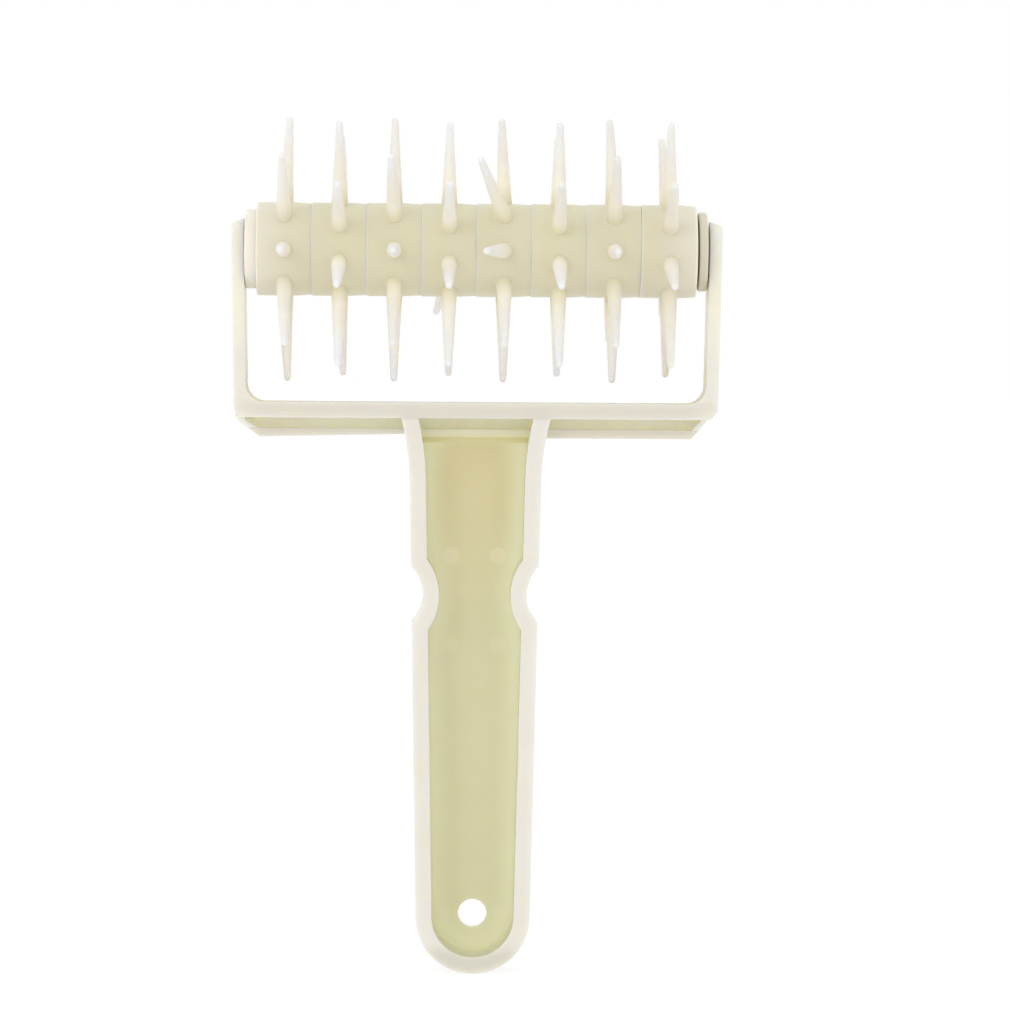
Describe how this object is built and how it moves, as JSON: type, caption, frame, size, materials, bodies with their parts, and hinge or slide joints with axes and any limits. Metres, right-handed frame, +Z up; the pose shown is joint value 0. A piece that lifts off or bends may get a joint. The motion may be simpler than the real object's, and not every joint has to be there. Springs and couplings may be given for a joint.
{
  "type": "dough docker",
  "caption": "Hand-held dough docker: a spiked roller turns freely in a moulded fork with a hollow-fronted handle, finger notches and a hanging hole.",
  "frame": {"origin": "middle of the object, at the lowest point of the handle's rounded end", "axes": "+Z up the handle to the roller, +X along the roller's axis to the viewer's right, -Y out of the handle's hollow front"},
  "size_m": [0.12, 0.0646, 0.21],
  "materials": {
    "frame_plastic": "satin cream moulded polypropylene, faintly see-through",
    "axle_plastic": "satin cream moulded plastic rod",
    "disc_plastic": "satin cream moulded plastic",
    "ring_plastic": "satin cream moulded plastic, spikes a little paler"
  },
  "bodies": {
    "frame": {"frame": "frame_plastic"},
    "roller": {"axle": "axle_plastic", "end_disc_left": "disc_plastic", "end_disc_right": "disc_plastic", "ring_1": "ring_plastic", "ring_2": "ring_plastic", "ring_3": "ring_plastic", "ring_4": "ring_plastic", "ring_5": "ring_plastic", "ring_6": "ring_plastic", "ring_7": "ring_plastic", "ring_8": "ring_plastic"}
  },
  "joints": [
    {"name": "roller_spin", "type": "hinge", "parent": "frame", "child": "roller", "pos_m": [0, 0, 0.1777], "axis": [1, 0, 0], "continuous": true}
  ]
}
